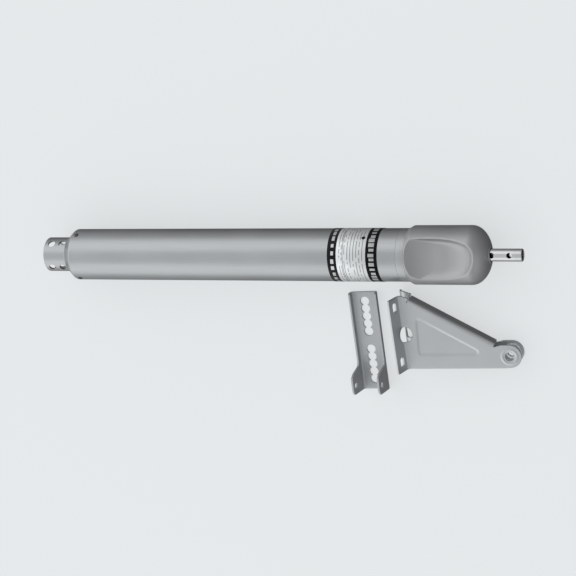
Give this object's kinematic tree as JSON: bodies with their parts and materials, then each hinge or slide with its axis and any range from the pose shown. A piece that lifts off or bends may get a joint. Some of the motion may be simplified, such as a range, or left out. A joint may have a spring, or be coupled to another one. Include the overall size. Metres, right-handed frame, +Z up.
{
  "type": "gate opener arm",
  "caption": "Tubular linear gate opener arm with swaged pinned neck, domed end cap, chrome push rod and inner screw drive, lying with its slotted and triangular mounting brackets.",
  "frame": {"origin": "centre of the bounding box's footprint, at the surface the kit lies on", "axes": "+X along the arm towards the push rod's end, +Z up from the surface, +Y from the brackets towards the arm"},
  "size_m": [0.737, 0.2604, 0.0836],
  "materials": {
    "tube": "satin silver-grey coat on drawn steel tube",
    "cap": "matte grey, slightly grained",
    "collar": "matte light grey",
    "chrome": "hard chrome plate",
    "bracket": "satin zinc plate on stamped steel",
    "zinc": "die cast, as cast",
    "steel": "ground and turned",
    "dark_steel": "phosphated",
    "magnet": "sintered ferrite",
    "copper": "enamelled copper",
    "bronze": "turned bronze",
    "carbon": "pressed carbon",
    "acetal": "natural acetal",
    "switch": "moulded black",
    "rubber": "moulded rubber",
    "board": "glass-filled board",
    "label": "printed film, plain rules and dark bands"
  },
  "bodies": {
    "housing": {"main_tube": "tube", "seat_rivet_1": "dark_steel", "seat_rivet_2": "dark_steel", "seat_rivet_3": "dark_steel", "motor_seat": "zinc", "cable_gland": "rubber", "label": "label", "cap_collar": "collar", "end_cap": "cap", "cap_screw_1": "steel", "cap_screw_2": "steel", "rod_bush": "bronze", "rod_wiper": "rubber", "front_bumper": "rubber", "switch_rail": "board", "limit_switch_rear": "switch", "limit_switch_front": "switch", "motor_can": "dark_steel", "motor_plate_rear": "zinc", "motor_plate_front": "zinc", "shaft_bearing_rear": "steel", "shaft_bearing_front": "steel", "magnet_1": "magnet", "magnet_2": "magnet", "brush_holder": "acetal", "brush_1": "carbon", "brush_2": "carbon", "ring_gear": "dark_steel", "gearbox_cover": "zinc", "thrust_block": "zinc", "thrust_bearing": "steel"},
    "armature": {"armature_shaft": "steel", "armature_core": "dark_steel", "coil_head_rear": "copper", "coil_head_front": "copper", "commutator": "copper", "sun_pinion": "steel"},
    "screw": {"planet_carrier": "zinc", "planet_pin_1": "steel", "planet_pin_2": "steel", "planet_pin_3": "steel", "thrust_collar": "steel", "lead_screw": "steel"},
    "planet_1": {"planet_gear_1": "steel"},
    "planet_2": {"planet_gear_2": "steel"},
    "planet_3": {"planet_gear_3": "steel"},
    "rod": {"push_rod": "chrome", "drive_nut": "bronze", "nut_carriage": "acetal", "trip_magnet": "magnet"},
    "slotted": {"slotted_bracket": "bracket"},
    "triangular": {"triangular_bracket": "bracket"}
  },
  "joints": [
    {"name": "motor_spin", "type": "hinge", "parent": "housing", "child": "armature", "pos_m": [0, 0.08821, 0.042], "axis": [-1, 0, 0], "range_deg": [0, 67200]},
    {"name": "screw_spin", "type": "hinge", "parent": "housing", "child": "screw", "pos_m": [0, 0.08821, 0.042], "axis": [-1, 0, 0], "range_deg": [0, 16800]},
    {"name": "planet_1_spin", "type": "hinge", "parent": "screw", "child": "planet_1", "pos_m": [0, 0.09133, 0.05973], "axis": [-1, 0, 0], "range_deg": [-50400, 0]},
    {"name": "planet_2_spin", "type": "hinge", "parent": "screw", "child": "planet_2", "pos_m": [0, 0.10199, 0.03043], "axis": [-1, 0, 0], "range_deg": [-50400, 0]},
    {"name": "planet_3_spin", "type": "hinge", "parent": "screw", "child": "planet_3", "pos_m": [0, 0.07129, 0.03584], "axis": [-1, 0, 0], "range_deg": [-50400, 0]},
    {"name": "rod_slide", "type": "slide", "parent": "housing", "child": "rod", "axis": [1, 0, 0], "range_m": [0, 0.28]},
    {"name": "slotted_lift", "type": "slide", "parent": "housing", "child": "slotted", "axis": [0, 0, 1], "range_m": [0, 0.15]},
    {"name": "triangular_lift", "type": "slide", "parent": "housing", "child": "triangular", "axis": [0, 0, 1], "range_m": [0, 0.15]}
  ],
  "couplings": [
    {"joint": "screw_spin", "follows": "motor_spin", "ratio": 0.25},
    {"joint": "planet_1_spin", "follows": "motor_spin", "ratio": -0.75},
    {"joint": "planet_2_spin", "follows": "motor_spin", "ratio": -0.75},
    {"joint": "planet_3_spin", "follows": "motor_spin", "ratio": -0.75},
    {"joint": "rod_slide", "follows": "motor_spin", "m_per_rad": 0.00023873}
  ]
}
